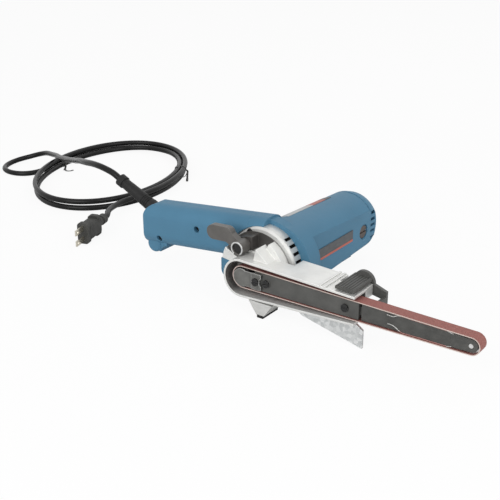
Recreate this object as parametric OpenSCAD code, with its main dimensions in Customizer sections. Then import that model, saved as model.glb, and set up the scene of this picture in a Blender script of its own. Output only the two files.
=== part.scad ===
// Power file: a narrow belt sander held in one hand, with a swinging belt arm,
// a motor drum across the arm, a grip behind it and a mains lead.
// The tool's own frame has X along the arm, Y along the spindle and Z up, from the spindle axis.

/* [Belt] */
// Width of the abrasive belt
belt_w = 13; // [11.5:0.5:15]
// Length round the outside of the belt
belt_loop = 533; // [500:1:570]
// Thickness of the belt
belt_t = 0.9; // [0.7:0.1:1.2]
// Outer radius of the belt on the drive pulley
drive_r = 11.5; // [10.8:0.1:12.4]
// Outer radius of the belt on the tip roller
tip_r = 8.5; // [8:0.1:9.2]

/* [Belt cover] */
// Outer radius of the cover round the drive pulley
cover_r = 19.6; // [18.6:0.1:20.4]
// Distance from the spindle to the open nose of the cover
nose_x = 126; // [122:1:130]
// Height of the nose above the arm's centre line
nose_up = 15.4; // [14.4:0.1:16.4]
// Depth of the nose below the arm's centre line
nose_down = 13; // [12.6:0.1:14]
// Wall of the cover
cover_wall = 2.2; // [1.6:0.1:2.4]
// How far the cover's rim stands in front of the belt
rim_front = 4; // [3:0.5:6]
// Radius of the swivel flange on the back of the cover
flange_r = 37.5; // [34:0.5:38]
// Depth of the skirt's lowest corner below the arm's centre line
skirt_drop = 35.9; // [30:0.1:35.9]

/* [Arm] */
// How far the arm draws back to free the belt
arm_travel = 2.4; // [1.5:0.1:2.8]
// Height of the sliding shank
shank_h = 8; // [6:0.5:9]
// Thickness of the sliding shank
shank_t = 5; // [4:0.5:6]
// Radius of the tip roller's axle
axle_r = 2; // [1.5:0.1:2.5]
// Thickness of the spring steel shoes under the belt
shoe_t = 0.5; // [0.4:0.1:0.7]

/* [Release lever] */
// Width of the ribbed thumb pad, along the spindle
pad_w = 36; // [32:1:40]
// Length of the ribbed thumb pad, along the arm
pad_l = 20; // [17:1:21]
// Number of ribs on the thumb pad
pad_ribs = 7; // [4:1:8]
// Radius of the lever's pivot pin
pivot_r = 1.5; // [1.2:0.1:2]

/* [Gear housing] */
// Height of the spindle axis above the surface the tool stands on
drive_h = 36; // [36:0.5:40]
// Radius of the gear housing
ring_r = 39; // [38.5:0.5:40.5]
// Depth of the gear housing along the spindle
ring_d = 13; // [11:0.5:16]
// Radius of the spigot that the arm swings on
spigot_r = 18; // [16.5:0.1:18.4]
// Radius of the spindle
shaft_r = 5; // [4:0.1:6]
// Radius of the spindle's front bearing
bearing_r = 11; // [9:0.1:12]

/* [Motor] */
// Radius of the motor drum
drum_r = 38; // [36.5:0.1:39]
// Length of the motor drum behind the gear housing
drum_l = 150; // [140:1:170]
// Distance of the flat side from the motor axis
flat_x = 27.5; // [26:0.5:30]
// Distance of the brush caps from the back of the drum
brush_back = 28; // [26:1:34]
// Radius of a brush cap
cap_r = 7; // [6:0.5:8]

/* [Grip] */
// Height of the grip's section
grip_h = 45; // [41:0.5:48]
// Width of the grip, along the spindle
grip_w = 36; // [33:1:40]
// Corner radius of the grip's section
grip_round = 14; // [10:0.5:16]
// Distance from the spindle to the back of the grip
grip_back = 152.4; // [146:0.1:160]
// Fall of the grip toward its back, in degrees
grip_fall = 6; // [4:0.5:8]
// Travel of the switch slider
switch_travel = 6; // [4:0.5:8]

/* [Clamp] */
// Radius of the clamp lever's hub
hub_r = 7.2; // [6:0.1:7.3]
// Distance from the hub to the end of the clamp lever
lever_l = 39; // [37:1:42]
// Radius of the clamp bolt
bolt_r = 3; // [2.5:0.1:3.5]

/* [Cord] */
// Diameter of the mains cord
cord_d = 7; // [6.4:0.1:7]
// Length of the cord guard outside the grip
guard_l = 62; // [56:1:66]

/* [Fits] */
// Radial clearance of a running fit
run_fit = 0.05; // [0.03:0.01:0.08]
// Gap between pieces that pass each other
gap = 0.5; // [0.4:0.05:0.6]

/* [Hidden] */
$fn = 72;
eps = 1;

// Belt and arm
arm_c = (belt_loop - PI * (drive_r + tip_r)) / 2;
belt_taper = (drive_r - tip_r) / arm_c;
arm_end = arm_c + tip_r;
inner_r = drive_r - belt_t;
side_in = 1;
holder_back = belt_w - side_in;
holder_end = nose_x + 2;
bar_start = holder_end + arm_travel + gap;
fork_t = 1.9;
bar_front = side_in + 0.6;
bar_back = belt_w - bar_front;
roller_r = tip_r - belt_t - run_fit;
bar_end = arm_c - roller_r - gap;
shank_mid = belt_w / 2;
shank_start = 66;
slot_start = 42;
screw_r = 2;
screw_near = 28;
screw_far = 114;
shield_front = -2.1;

// Cover along Y
wall_back = belt_w + 5;
wall_front = wall_back - cover_wall;
flange_front = wall_back;
flange_back = flange_front + 9;
deck_back = flange_back + 6;
window_r = spigot_r + 3.4;
window_from = 60;
window_to = 152;
deck_from = 48;
deck_to = 98;

// Housings along Y
ring_front = flange_back + 1;
ring_back = ring_front + ring_d;
ring_x = 3;
ring_z = ring_r - drive_h + gap;
drum_x = 13;
drum_z = 6;
drum_draft = 0.036;
side_z = drum_z - 2.5;
skirt_y = 1;
skirt_t = 2.4;
drum_end = ring_back + drum_l;
collar_r = ring_r + 4.5;
collar_d = 18;
brush_y = drum_end - brush_back;
floor_z = -drive_h;
foot_pad = 3;
foot_from = 20;
foot_to = 27;
foot_front = -3.4;
foot_back = 22;
housing_angles = [115, 195, 250, 330];
screw_circle = ring_r - 5;
plate_t = 0.8;
badge_y = ring_back + 28;
badge_l = 70;
badge_h = 10;
name_from = 100;
name_to = 128;

// Grip
grip_front = ring_front;
grip_mid = grip_front + grip_w / 2;
grip_x = -90;
grip_z = 16.8;
heel_r = 9;
guard_angle = 25.4;
guard_r = 7.5;
guard_x = -144;
guard_z = 20.2;
grip_screws = [[-131, -1], [-79, 21.5]];
head_r = 3.4;
thread_r = 1.7;
switch_x = -88;

// Clamp
bolt_x = -9;
bolt_z = 26;
bolt_reach = 3.5;
hub_front = 4;
hub_back = flange_front - eps - gap;
base_front = hub_back + 0.3;
base_from = 91;
base_to = 149;
paddle_r = 7.5;
paddle_up = 9;

// Release lever
pivot_x = 119;
pivot_z = 11;
pad_x = pivot_x - 15;
pad_z = nose_up + 1.9;
pad_t = 2.6;
cheek_t = 3.5;
pad_front = -1;
pad_back = pad_front + pad_w;
lug_back = pad_back - cheek_t - gap;
tang_r = 2;
tang_x = bar_start + tang_r + 0.3;
tang_back = lug_back - 4;
leg_x = tang_x + tang_r + gap;
leg_t = 3.2;

// The tool's frame to the part's frame
front_y = -rim_front;
mid_x = (arm_end - grip_back) / 2;
mid_y = (front_y + drum_end) / 2;

// Cord and coil, in the tool's frame with heights from the surface
cord_r = cord_d / 2;
guard_end = [
    guard_x - guard_l * cos(guard_angle),
    grip_mid,
    guard_z + guard_l * sin(guard_angle) + drive_h
];
guard_dir = [-cos(guard_angle), 0, sin(guard_angle)];
coil_mid = [-385, 218];
coil_long = 137;
coil_short = 97;
coil_turn = 110;
coil_start = 82;
coil_turns = 2.578;
coil_step = 7.8;
coil_layer = 7.8;
coil_rings = 24;
coil_low = 5;
cord_points = [
    [-229, 46.5, 91.5], [-247, 51, 90.5], [-265, 58, 87], [-282, 68, 82.5], [-299, 80, 77],
    [-315, 92, 71], [-331, 104, 65], [-347, 116, 59.5], [-363, 127, 54], [-380, 138, 48.5],
    [-397, 149, 43.5], [-414, 160, 38.5], [-431, 171, 33.5], [-448, 182, 29], [-464, 193, 25],
    [-485, 203.5, 20.5], [-506.5, 211.5, 16.5], [-521, 210, 12.5], [-533, 202.5, 8.5],
    [-541, 190.5, 6], [-542.5, 176, 4.5], [-537.5, 162.5, 4], [-527.5, 152.5, 4],
    [-514, 148, 4], [-499.5, 149.5, 4], [-487.5, 157.5, 4], [-480, 170, 4.5]
];
lead_points = [[-286, 132, 12], [-283, 115, 12], [-276, 100, 13]];
plug_at = [-263, 78, 13];
plug_heading = -72;
plug_l = 32;
plug_w = 25;
plug_t = 15;
blade_gap = 12.7;
blade_w = 6.3;
blade_t = 1.5;
blade_l = 17;

// Placing

module tool() {
    translate([-mid_x, -mid_y, drive_h]) children();
}

module on_floor() {
    translate([-mid_x, -mid_y, 0]) children();
}

module at(x, z) {
    translate([x, 0, z]) children();
}

// Solids along Y

module ycyl(r, y0, y1) {
    translate([0, y0, 0]) rotate([-90, 0, 0]) cylinder(r = r, h = y1 - y0);
}

module ycone(r0, r1, y0, y1) {
    translate([0, y0, 0]) rotate([-90, 0, 0]) cylinder(r1 = r0, r2 = r1, h = y1 - y0);
}

module xz(y0, y1) {
    translate([0, y1, 0]) rotate([90, 0, 0]) linear_extrude(y1 - y0) children();
}

module xcyl(r, x0, x1) {
    translate([x0, 0, 0]) rotate([0, 90, 0]) cylinder(r = r, h = x1 - x0);
}

module block(x0, x1, y0, y1, z0, z1) {
    translate([x0, y0, z0]) cube([x1 - x0, y1 - y0, z1 - z0]);
}

// Flat shapes

module round_rect(w, h, r) {
    square([w - 2 * r, h], center = true);
    square([w, h - 2 * r], center = true);
    for (sx = [-1, 1]) {
        for (sy = [-1, 1]) {
            translate([sx * (w / 2 - r), sy * (h / 2 - r)]) circle(r);
        }
    }
}

module sector(r0, r1, a0, a1) {
    steps = 6;
    reach = 2 * r1;
    intersection() {
        difference() {
            circle(r1);
            circle(r0);
        }
        polygon(concat([[0, 0]], [
            for (k = [0 : steps])
                let (a = a0 + (a1 - a0) * k / steps)
                [reach * cos(a), reach * sin(a)]
        ]));
    }
}

module loop_solid(inset, y0, y1) {
    r1 = drive_r - inset;
    r2 = tip_r - inset;
    ycyl(r1, y0, y1);
    at(arm_c, 0) ycyl(r2, y0, y1);
    xz(y0, y1) polygon([[0, r1], [arm_c, r2], [arm_c, -r2], [0, -r1]]);
}

function half_loop(x) = inner_r - belt_taper * x;

module taper_shape(x0, x1, inset) {
    polygon([
        [x0, half_loop(x0) - inset],
        [x1, half_loop(x1) - inset],
        [x1, inset - half_loop(x1)],
        [x0, inset - half_loop(x0)]
    ]);
}

// Belt and arm

module belt() {
    color([0.62, 0.40, 0.38]) tool() difference() {
        loop_solid(0, 0, belt_w);
        loop_solid(belt_t, -eps, belt_w + eps);
    }
}

function cover_top(x) = cover_r + (nose_up - cover_r) * x / nose_x;
function cover_foot(x) = -cover_r + (cover_r - nose_down) * x / nose_x;

module cover_shape(inset, to_x) {
    circle(cover_r - inset);
    polygon([
        [0, cover_top(0) - inset],
        [to_x, cover_top(to_x) - inset],
        [to_x, cover_foot(to_x) + inset],
        [0, cover_foot(0) + inset]
    ]);
}

module swivel_flange() {
    xz(flange_front - eps, flange_back) {
        circle(window_r);
        difference() {
            sector(0, flange_r, 0, 172);
            sector(window_r, flange_r + eps, window_from, window_to);
        }
    }
}

module clamp_bracket() {
    bracket_from = 10;
    bracket_to = 28;
    xz(hub_front, flange_front + 2) polygon([
        [bracket_from, cover_top(bracket_from) - eps],
        [bracket_from + 3, flange_r - 7],
        [bracket_to, cover_top(bracket_to) - eps]
    ]);
}

module cover_deck() {
    deck_t = 2.4;
    xz(wall_front, deck_back) polygon([
        [deck_from, cover_top(deck_from)],
        [deck_to, cover_top(deck_to)],
        [deck_to, cover_top(deck_to) - deck_t],
        [deck_from, cover_top(deck_from) - deck_t]
    ]);
    for (x = [deck_to - 9, deck_to - 4]) {
        xz(-rim_front, deck_back) polygon([
            [x, cover_top(x) - eps],
            [x, cover_top(x) + 1.2],
            [x + 2, cover_top(x + 2) + 1.2],
            [x + 2, cover_top(x + 2) - eps]
        ]);
    }
}

module pivot_lug() {
    difference() {
        xz(wall_front, lug_back) polygon([
            [pivot_x - 10, cover_top(pivot_x - 10) - 0.4],
            [nose_x - 1, cover_top(nose_x - 1) - 0.4],
            [nose_x - 1, 4],
            [pivot_x - 10, 0]
        ]);
        at(pivot_x, pivot_z) ycyl(pivot_r, wall_back, lug_back + eps);
    }
}

module belt_cover() {
    color([0.80, 0.80, 0.78]) tool() difference() {
        union() {
            xz(-rim_front, wall_back) cover_shape(0, nose_x);
            swivel_flange();
            clamp_bracket();
            cover_deck();
            pivot_lug();
        }
        xz(-rim_front - eps, wall_front) cover_shape(cover_wall, nose_x + eps);
        ycyl(spigot_r + run_fit, wall_front - eps, flange_back + eps);
        for (x = [screw_near, screw_far]) {
            at(x, 0) ycyl(screw_r, wall_front - eps, wall_back + eps);
        }
    }
}

module drive_shield() {
    shield_r = inner_r - 1.4;
    color([0.33, 0.33, 0.32]) tool() difference() {
        union() {
            xz(-1.6, -gap) {
                circle(shield_r);
                translate([0, -shield_r * 0.86]) square([18, shield_r * 1.72]);
            }
            xz(shield_front, -gap) difference() {
                translate([12, -8.4]) square([11, 16.8]);
                translate([25, 0]) circle(4.4);
            }
            xz(-gap - eps, side_in) translate([15, -4]) square([6, 8]);
        }
        at(17, 0) ycyl(screw_r, -rim_front, holder_back);
    }
}

module screw(x, z, y0, y1, r) {
    head = 1.9 * r;
    head_t = 0.9 * r;
    slot = 0.7 * r;
    at(x, z) difference() {
        union() {
            ycyl(head, y0 - head_t, y0);
            ycyl(r, y0 - eps / 4, y1);
        }
        block(-head, head, y0 - head_t - eps, y0 - head_t / 2, -slot / 2, slot / 2);
    }
}

module shield_screw() {
    color([0.22, 0.22, 0.22]) tool() screw(17, 0, shield_front, side_in + 6, screw_r);
}

module arm_holder() {
    color([0.20, 0.20, 0.20]) tool() difference() {
        union() {
            xz(side_in, holder_back) taper_shape(14, holder_end, 0.8);
            for (x = [screw_near, screw_far]) {
                at(x, 0) ycyl(2.2 * screw_r, holder_back - eps, wall_front);
            }
            at(screw_near, 0) ycyl(2.2 * screw_r, side_in - 0.8, side_in + eps);
        }
        ycyl(14 + gap, -eps, holder_back + eps);
        block(slot_start, holder_end + eps, shank_mid - shank_t / 2 - run_fit,
            shank_mid + shank_t / 2 + run_fit, -shank_h / 2 - run_fit, shank_h / 2 + run_fit);
        for (x = [17, screw_near, screw_far]) {
            at(x, 0) ycyl(screw_r, -eps, wall_front + eps);
        }
    }
}

module holder_screws() {
    color([0.22, 0.22, 0.22]) tool() {
        screw(screw_near, 0, side_in - 0.8, wall_back, screw_r);
        screw(screw_far, 0, side_in, wall_back, screw_r);
    }
}

module arm_bar() {
    slot_r = screw_r + gap;
    color([0.18, 0.18, 0.18]) tool() difference() {
        union() {
            xz(bar_front, bar_back) taper_shape(bar_start, bar_end, 0.4 + shoe_t);
            block(shank_start, bar_start + eps, shank_mid - shank_t / 2,
                shank_mid + shank_t / 2, -shank_h / 2, shank_h / 2);
            for (y = [side_in, belt_w - side_in - fork_t]) {
                xz(y, y + fork_t) {
                    translate([arm_c, 0]) circle(roller_r - 1.6);
                    translate([bar_end - 10, 1.6 - roller_r])
                        square([arm_c - bar_end + 10, 2 * roller_r - 3.2]);
                }
            }
            at(tang_x, 0) ycyl(tang_r, bar_back - eps, tang_back);
        }
        at(arm_c, 0) ycyl(axle_r, -eps, belt_w + eps);
        xz(shank_mid - shank_t, shank_mid + shank_t) {
            translate([screw_far, 0]) circle(slot_r);
            translate([screw_far + arm_travel, 0]) circle(slot_r);
            translate([screw_far, -slot_r]) square([arm_travel, 2 * slot_r]);
        }
    }
}

module shoe_tab(x, w) {
    tab_h = 3;
    for (s = [0, 1]) {
        mirror([0, 0, s]) xz(bar_front - shoe_t, bar_front) polygon([
            [x, half_loop(x) - 0.4],
            [x + w, half_loop(x + w) - 0.4],
            [x + w, half_loop(x + w) - 0.4 - tab_h],
            [x, half_loop(x) - 0.4 - tab_h]
        ]);
    }
}

module arm_shoes() {
    color([0.78, 0.78, 0.76]) tool() {
        difference() {
            xz(bar_front - shoe_t, bar_back) taper_shape(bar_start + 4, bar_end - 4, 0.4);
            xz(bar_front - shoe_t - eps, bar_back + eps)
                taper_shape(bar_start, bar_end, 0.4 + shoe_t);
        }
        shoe_tab(158, 10);
        shoe_tab(bar_end - 18, 6);
    }
}

module tip_axle() {
    color([0.85, 0.85, 0.83]) tool() at(arm_c, 0)
        ycyl(axle_r, side_in - 0.4, belt_w - side_in + 0.4);
}

module tip_roller() {
    side = side_in + fork_t + 0.4;
    color([0.45, 0.45, 0.44]) tool() at(arm_c, 0) difference() {
        ycyl(roller_r, side, belt_w - side);
        ycyl(axle_r + run_fit, 0, belt_w);
    }
}

// Release lever

module release_lever() {
    rib_step = pad_l / pad_ribs;
    cheek_front = pad_back - cheek_t;
    color([0.27, 0.27, 0.26]) tool() difference() {
        union() {
            block(pad_x, pad_x + pad_l, pad_front, pad_back, pad_z, pad_z + pad_t);
            for (k = [0 : pad_ribs - 1]) {
                at(pad_x + (k + 0.5) * rib_step, pad_z + pad_t)
                    ycyl(0.32 * rib_step, pad_front, cheek_front);
            }
            xz(cheek_front, pad_back) {
                translate([pad_x + pad_l / 2 + 1, pivot_z + 3.4]) circle(11);
                translate([pivot_x, pivot_z]) circle(6);
                polygon([
                    [pivot_x, pivot_z + 6],
                    [leg_x + leg_t, pivot_z - 1],
                    [leg_x + leg_t, -5],
                    [leg_x, -5],
                    [leg_x, 2],
                    [pivot_x, pivot_z - 6]
                ]);
            }
            block(leg_x, leg_x + leg_t, tang_back - 6, pad_back, -5, 5);
        }
        at(pivot_x, pivot_z) ycyl(pivot_r + run_fit, cheek_front - eps, pad_back + eps);
    }
}

module lever_pin() {
    color([0.7, 0.7, 0.7]) tool() at(pivot_x, pivot_z) ycyl(pivot_r, wall_back, pad_back + 0.6);
}

module skirt() {
    start_x = 62;
    end_x = nose_x + 7;
    color([0.74, 0.75, 0.75]) tool() xz(skirt_y, skirt_y + skirt_t) polygon([
        [start_x, cover_foot(start_x)],
        [nose_x, cover_foot(nose_x)],
        [end_x, cover_foot(end_x) - 5],
        [end_x, -skirt_drop],
        [start_x + 6, cover_foot(start_x) - 5]
    ]);
}

// Spindle

module spindle() {
    color([0.6, 0.6, 0.6]) tool() {
        ycyl(shaft_r - 1, 0.4, belt_w);
        ycyl(shaft_r, belt_w, ring_front + 6);
    }
}

module drive_pulley() {
    color([0.25, 0.25, 0.25]) tool() difference() {
        ycyl(inner_r - run_fit, 0.4, belt_w - 0.4);
        ycyl(shaft_r - 1, 0, belt_w);
    }
}

module spindle_bearing() {
    color([0.7, 0.7, 0.7]) tool() difference() {
        ycyl(bearing_r, wall_front + 2, ring_front - 1);
        ycyl(shaft_r + run_fit, 0, ring_front);
        difference() {
            ycyl(bearing_r - 2, wall_front + 1, wall_front + 3);
            ycyl(shaft_r + 2.4, wall_front, wall_front + 4);
        }
    }
}

// Gear housing

module foot_lug() {
    lug_top = -cover_r - gap;
    difference() {
        xz(foot_front, ring_front + eps) polygon([
            [foot_from - 10, lug_top],
            [foot_from - 1, floor_z + foot_pad],
            [foot_to + 1, floor_z + foot_pad],
            [foot_to + 10, lug_top]
        ]);
        ycyl(window_r + 2.5, wall_back - eps, ring_front);
    }
}

module gear_housing() {
    vents = 4;
    vent_w = 3.2;
    color([0.83, 0.83, 0.81]) tool() difference() {
        union() {
            at(ring_x, ring_z) ycyl(ring_r, ring_front + 2, ring_back);
            at(ring_x, ring_z) ycone(ring_r - 2, ring_r, ring_front, ring_front + 2);
            ycyl(spigot_r, wall_front + 1, ring_front + eps);
            foot_lug();
        }
        ycyl(bearing_r, wall_front + 2, ring_front - 1);
        ycyl(bearing_r - 2, wall_front, ring_front);
        ycyl(shaft_r + gap, wall_front, ring_front + 7);
        at(bolt_x, bolt_z) ycyl(bolt_r, ring_front - eps, ring_front + 6);
        for (a = housing_angles) {
            at(ring_x, ring_z) rotate([0, -a, 0]) at(screw_circle, 0) {
                ycyl(1.9 * screw_r + 0.3, ring_front - eps, ring_front + 3);
                ycyl(screw_r, ring_front, ring_back - 2);
            }
        }
        for (k = [0 : vents - 1]) {
            at(ring_x, ring_z) rotate([0, -(15 + 12 * k), 0])
                block(ring_r - 4, ring_r + eps, ring_back - 9, ring_back + eps,
                    -vent_w / 2, vent_w / 2);
        }
    }
}

module housing_screws() {
    color([0.3, 0.3, 0.3]) tool() at(ring_x, ring_z) {
        for (a = housing_angles) {
            rotate([0, -a, 0]) screw(screw_circle, 0, ring_front + 3, ring_back - 2, screw_r);
        }
    }
}

module foot_strip() {
    color([0.12, 0.12, 0.12]) tool()
        block(foot_from, foot_to, foot_front, foot_back, floor_z, floor_z + foot_pad);
}

// Clamp

module clamp_base() {
    color([0.30, 0.29, 0.27]) tool() difference() {
        union() {
            xz(base_front, ring_front) sector(window_r + gap, flange_r - 2, base_from, base_to);
            xz(flange_back + gap, ring_front) sector(window_r - 2, flange_r, window_from - 6, base_to);
        }
        at(bolt_x, bolt_z) ycyl(bolt_r, 0, ring_front + eps);
    }
}

module clamp_lever() {
    paddle_far = paddle_r - lever_l;
    paddle_near = paddle_far + 16;
    y0 = hub_front + 2.5;
    y1 = hub_back - 3;
    color([0.31, 0.30, 0.28]) tool() at(bolt_x, bolt_z) difference() {
        union() {
            ycyl(hub_r, hub_front, hub_back);
            at(paddle_far, paddle_up) ycyl(paddle_r, y0, y1);
            at(paddle_near, paddle_up + eps) ycyl(paddle_r, y0, y1);
            xz(y0, y1) polygon([
                [paddle_far, paddle_up + paddle_r - 0.05],
                [paddle_near, paddle_up + paddle_r + eps - 0.05],
                [0.4 * hub_r, 0.57 * hub_r],
                [-0.4 * hub_r, -0.57 * hub_r],
                [paddle_near, paddle_up - paddle_r + eps],
                [paddle_far, paddle_up - paddle_r + 0.05]
            ]);
        }
        ycyl(bolt_r + run_fit, 0, ring_front);
        ycyl(hub_r - 1.8, hub_front - eps, hub_front + bolt_reach);
    }
}

module clamp_clip() {
    clip_r = hub_r - 0.3;
    color([0.85, 0.85, 0.83]) tool() at(bolt_x, bolt_z) difference() {
        ycyl(clip_r, hub_front - 0.9, hub_front);
        ycyl(clip_r - 1.3, hub_front - 2, hub_front + eps);
        block(-3.5, 3.5, hub_front - 2, hub_front + eps, -2 * hub_r, 0);
    }
}

module clamp_bolt() {
    bolt_head_r = hub_r - 2.4;
    color([0.35, 0.35, 0.34]) tool() at(bolt_x, bolt_z) {
        ycyl(bolt_head_r, hub_front + 0.6, hub_front + bolt_reach - 0.2);
        ycyl(bolt_r, hub_front + bolt_reach - eps, ring_front + 6);
    }
}

// Motor housing and grip

module grip_section(y0, y1) {
    crown_r = grip_back + guard_x + 4;
    intersection() {
        at(grip_x, grip_z) rotate([0, -grip_fall, 0]) translate([-100, grip_mid, 0])
            rotate([90, 0, 90]) linear_extrude(220) round_rect(grip_w, grip_h, grip_round);
        xz(y0, y1) {
            translate([crown_r - grip_back, -80]) square([200, 160]);
            translate([crown_r - grip_back, 21]) circle(crown_r);
            translate([-grip_back, -80]) square([20, 101]);
        }
        block(-grip_back - eps, ring_x, y0, y1, -60, 80);
    }
}

module heel(y0, y1) {
    half_w = grip_w / 2 - 4;
    heel_x = heel_r - grip_back + 0.8;
    heel_z = -11.6;
    intersection() {
        union() {
            translate([heel_x, grip_mid, heel_z]) rotate([90, 0, 0]) rotate_extrude()
                intersection() {
                    round_rect(2 * heel_r, 2 * half_w, 3);
                    translate([0, -half_w]) square([heel_r, 2 * half_w]);
                }
            difference() {
                block(heel_x, -125, grip_mid - half_w + 2, grip_mid + half_w - 2, heel_z - heel_r + 2, 0);
                at(-125, -20) ycyl(9.4, 0, 2 * grip_mid);
            }
        }
        block(-grip_back - eps, 0, y0, y1, -60, 80);
    }
}

module guard_axis() {
    translate([guard_x, grip_mid, guard_z]) rotate([0, guard_angle - 90, 0]) children();
}

module grip_half(y0, y1) {
    difference() {
        union() {
            grip_section(y0, y1);
            heel(y0, y1);
        }
        guard_axis() translate([0, 0, -6]) cylinder(r = guard_r, h = guard_l);
    }
}

module grip_screw_cuts() {
    for (p = grip_screws) {
        at(p[0], p[1]) {
            ycyl(head_r, grip_front - eps, grip_front + 6);
            ycyl(thread_r, grip_front, grip_mid + 9);
        }
    }
}

module neck(y0, y1) {
    intersection() {
        union() {
            at(ring_x, ring_z) ycyl(collar_r, ring_back, ring_back + collar_d - 6);
            at(ring_x, ring_z)
                ycone(collar_r, collar_r - 9, ring_back + collar_d - 6, ring_back + collar_d + 3);
            xz(ring_front + 1, ring_back + collar_d) {
                translate([-46, -14]) square([30, 34]);
                translate([-40, -14]) circle(8);
                translate([-40, -22]) square([20, 20]);
                translate([-48, -14]) square([12, 12]);
            }
        }
        block(-60, 60, y0, y1, floor_z, 80);
    }
}

function drum_at(y) = drum_r - drum_draft * (y - ring_back);

module drum(grow) {
    ycone(drum_r + grow, drum_at(drum_end - 12) + grow, ring_back, drum_end - 12);
}

module drum_skin(inner, outer) {
    reach = 2 * drum_r;
    at(drum_x, drum_z) intersection() {
        difference() {
            drum(outer);
            drum(inner);
        }
        xz(badge_y, badge_y + badge_l + 10) polygon([
            [0, 0],
            [reach * cos(name_from), reach * sin(name_from)],
            [reach * cos(name_to), reach * sin(name_to)]
        ]);
    }
}

module motor_housing() {
    rear_vents = 6;
    end_r = drum_at(drum_end - 12) - 2.5;
    color([0.29, 0.50, 0.66]) tool() difference() {
        union() {
            grip_half(grip_front, grip_front + grip_w);
            neck(ring_front, drum_end);
            at(drum_x, drum_z) {
                drum(0);
                ycone(drum_at(drum_end - 12), end_r, drum_end - 12, drum_end - 4);
                ycone(end_r, end_r - 4, drum_end - 4, drum_end);
            }
            block(drum_x - 5, drum_x + 5, drum_end - 32, drum_end - 13, floor_z, drum_z - end_r + 3);
        }
        at(ring_x, ring_z) ycyl(ring_r, ring_front - eps, ring_back);
        grip_cover_room();
        grip_screw_cuts();
        block(drum_x + flat_x, drum_x + 2 * drum_r, ring_back + collar_d + 2, drum_end + eps, -60, 60);
        for (s = [-1, 1]) {
            translate([drum_x, brush_y, side_z]) brush_port(s);
        }
        for (k = [0 : rear_vents - 1]) {
            at(drum_x, drum_z) rotate([0, 42 - 14 * k, 0])
                block(end_r - 10, drum_r + eps, drum_end - 13, drum_end - 4, -1.6, 1.6);
        }
        for (k = [-2 : 2]) {
            block(drum_x - 16, drum_x + 16, drum_end - 6, drum_end + eps,
                drum_z + 7 * k - 1.4, drum_z + 7 * k + 1.4);
        }
        block(switch_x - 14 - gap, switch_x + 14 + switch_travel + gap, grip_front + grip_w - 4,
            grip_front + grip_w + eps, grip_z - 6 - gap, grip_z + 6 + gap);
        at(drum_x, drum_z) difference() {
            ycyl(drum_r + eps, drum_end - 17, drum_end - 15.5);
            ycyl(drum_at(drum_end - 16) - 0.8, drum_end - 18, drum_end - 15);
        }
        drum_skin(-plate_t / 2, 2 * eps);
    }
}

module grip_cover_room() {
    block(-grip_back - eps, ring_x - 20, grip_front - eps, grip_mid, floor_z, 80);
}

module brush_port(side) {
    face = side > 0 ? flat_x : drum_at(brush_y) - 2;
    mirror([side > 0 ? 0 : 1, 0, 0]) {
        xcyl(cap_r + 1.2, face - 1.6, drum_r + eps);
        xcyl(cap_r, face - 8, face);
    }
}

module brush_caps() {
    color([0.30, 0.28, 0.26]) tool() {
        for (s = [-1, 1]) {
            face = s > 0 ? flat_x : drum_at(brush_y) - 2;
            translate([drum_x, brush_y, side_z]) mirror([s > 0 ? 0 : 1, 0, 0]) difference() {
                xcyl(cap_r, face - 8, face - 0.6);
                block(face - 2.2, face, -cap_r, cap_r, -0.9, 0.9);
            }
        }
    }
}

function badge_edge(z) = badge_y + 0.6 * (side_z + badge_h - z);

module badge_plate(z0, z1) {
    tool() translate([drum_x + flat_x, 0, 0]) rotate([90, 0, 90]) linear_extrude(plate_t) polygon([
        [badge_edge(z0), z0],
        [badge_y + badge_l, z0],
        [badge_y + badge_l, z1],
        [badge_edge(z1), z1]
    ]);
}

module badge() {
    color([0.30, 0.31, 0.33]) badge_plate(side_z, side_z + badge_h);
}

module badge_stripe() {
    color([0.72, 0.30, 0.25]) badge_plate(side_z - 2.4, side_z);
}

module nameplate() {
    color([0.62, 0.63, 0.64]) tool() drum_skin(-plate_t / 2, plate_t / 2);
}

module grip_cover() {
    color([0.29, 0.50, 0.66]) tool() difference() {
        union() {
            grip_half(grip_front, grip_mid);
            intersection() {
                neck(grip_front, grip_mid);
                grip_cover_room();
            }
        }
        block(ring_x - 20, 60, 0, grip_mid + eps, -60, 80);
        at(ring_x, ring_z) ycyl(ring_r, ring_front - eps, ring_back);
        grip_screw_cuts();
    }
}

module grip_screws() {
    color([0.25, 0.25, 0.25]) tool() {
        for (p = grip_screws) {
            screw(p[0], p[1], grip_front + 6, grip_mid + 9, thread_r);
        }
    }
}

module switch_slider() {
    far_y = grip_front + grip_w;
    color([0.15, 0.15, 0.15]) tool() {
        block(switch_x - 14, switch_x + 14, far_y - 3.6, far_y + 0.8, grip_z - 6, grip_z + 6);
        for (k = [-2 : 2]) {
            at(switch_x + 4 * k, grip_z)
                block(-0.8, 0.8, far_y + 0.3, far_y + 1.8, -5, 5);
        }
    }
}

// Cord

function unit(v) = v / norm(v);
function heading(p, i) = unit(p[min(i + 1, len(p) - 1)] - p[max(i - 1, 0)]);

function tube_ring(c, t, r, sides) =
    let (s = unit(cross(t, [0, 0, 1])), u = cross(s, t))
    [for (k = [0 : sides - 1]) c + r * (cos(360 * k / sides) * s + sin(360 * k / sides) * u)];

module tube(path, r, sides) {
    n = len(path);
    points = [
        for (i = [0 : n - 1])
            each tube_ring(path[i], heading(path, i), r, sides)
    ];
    walls = [
        for (i = [0 : n - 2])
            for (k = [0 : sides - 1])
                let (a = i * sides + k, b = i * sides + (k + 1) % sides)
                each [[a, b, b + sides], [a, b + sides, a + sides]]
    ];
    first = [for (k = [1 : sides - 2]) [0, k + 1, k]];
    base = (n - 1) * sides;
    last = [for (k = [1 : sides - 2]) [base, base + k, base + k + 1]];
    polyhedron(points = points, faces = concat(walls, first, last));
}

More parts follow.
